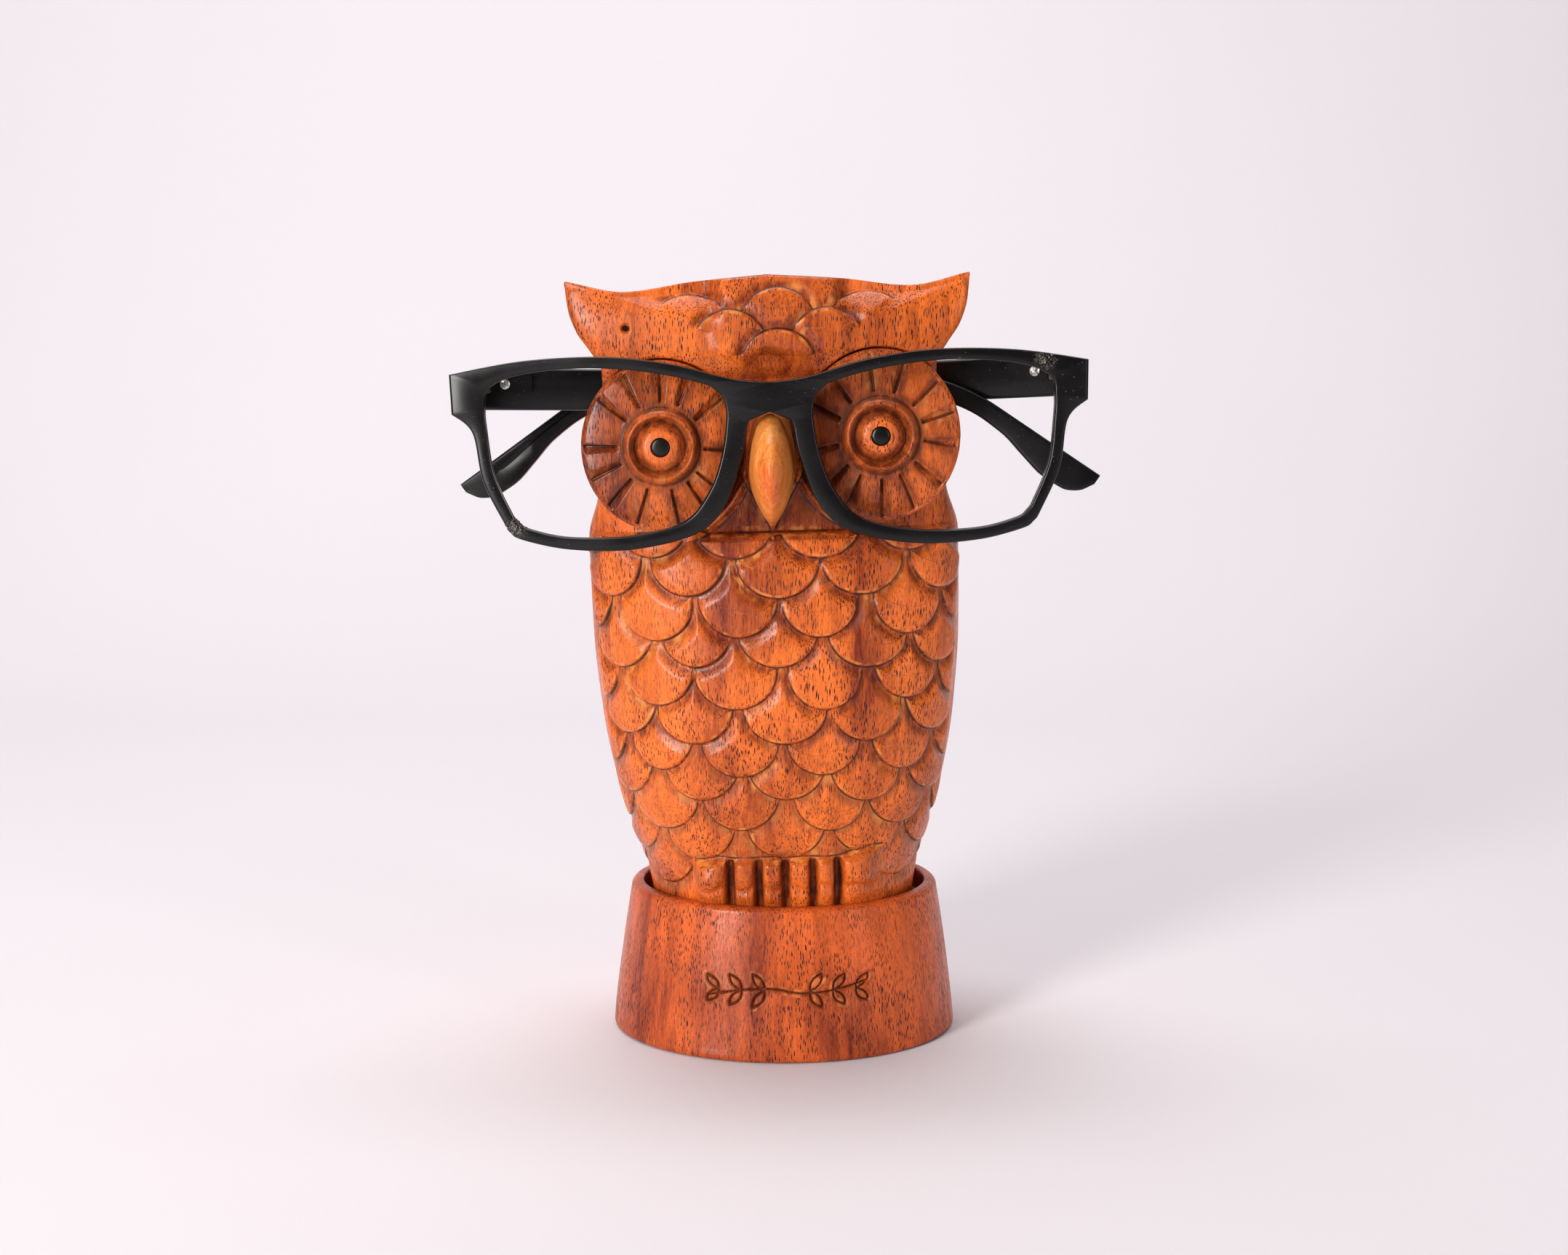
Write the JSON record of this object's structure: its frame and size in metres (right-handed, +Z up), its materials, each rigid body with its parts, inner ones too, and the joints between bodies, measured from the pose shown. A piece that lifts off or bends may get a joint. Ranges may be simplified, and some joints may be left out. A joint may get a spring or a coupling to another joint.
{
  "type": "eyeglasses display stand",
  "caption": "Carved wooden owl on an oval plinth whose beak carries a pair of folded eyeglasses by the bridge; they lift off and their temples are hinged.",
  "frame": {"origin": "middle of the plinth's flat underside", "axes": "+Z up; the owl faces -Y; +X is to the viewer's right"},
  "size_m": [0.1421, 0.0871, 0.1751],
  "materials": {
    "carved_wood": "satin varnish over dark stain",
    "beak_wood": "satin varnish, lighter",
    "black_plastic": "worn satin black",
    "screw_steel": "plain steel"
  },
  "bodies": {
    "stand": {"plinth": "carved_wood", "owl_body": "carved_wood", "eye_disc_left": "carved_wood", "eye_disc_right": "carved_wood", "dowel_left": "carved_wood", "dowel_right": "carved_wood", "beak": "beak_wood", "beak_peg": "beak_wood", "pupil_left": "black_plastic", "pupil_right": "black_plastic", "plinth_screw_front": "screw_steel", "plinth_screw_back": "screw_steel", "ear_brad": "screw_steel"},
    "glasses": {"glasses_front": "black_plastic", "front_leaf_left": "screw_steel", "front_leaf_right": "screw_steel", "hinge_pin_left": "screw_steel", "hinge_pin_right": "screw_steel"},
    "temple_left": {"temple_left": "black_plastic", "temple_leaf_left": "black_plastic", "leaf_screw_left": "screw_steel"},
    "temple_right": {"temple_right": "black_plastic", "temple_leaf_right": "black_plastic", "leaf_screw_right": "screw_steel"}
  },
  "joints": [
    {"name": "glasses_lift", "type": "slide", "parent": "stand", "child": "glasses", "axis": [-0.0244, 0, 0.9997], "range_m": [0, 0.045]},
    {"name": "temple_left_hinge", "type": "hinge", "parent": "glasses", "child": "temple_left", "pos_m": [-0.06546, -0.02565, 0.15074], "axis": [-0.0244, 0, 0.9997], "range_deg": [-0.5, 0]},
    {"name": "temple_right_hinge", "type": "hinge", "parent": "glasses", "child": "temple_right", "pos_m": [0.0591, -0.02565, 0.15379], "axis": [0.0244, 0, -0.9997], "range_deg": [0, 81]}
  ]
}
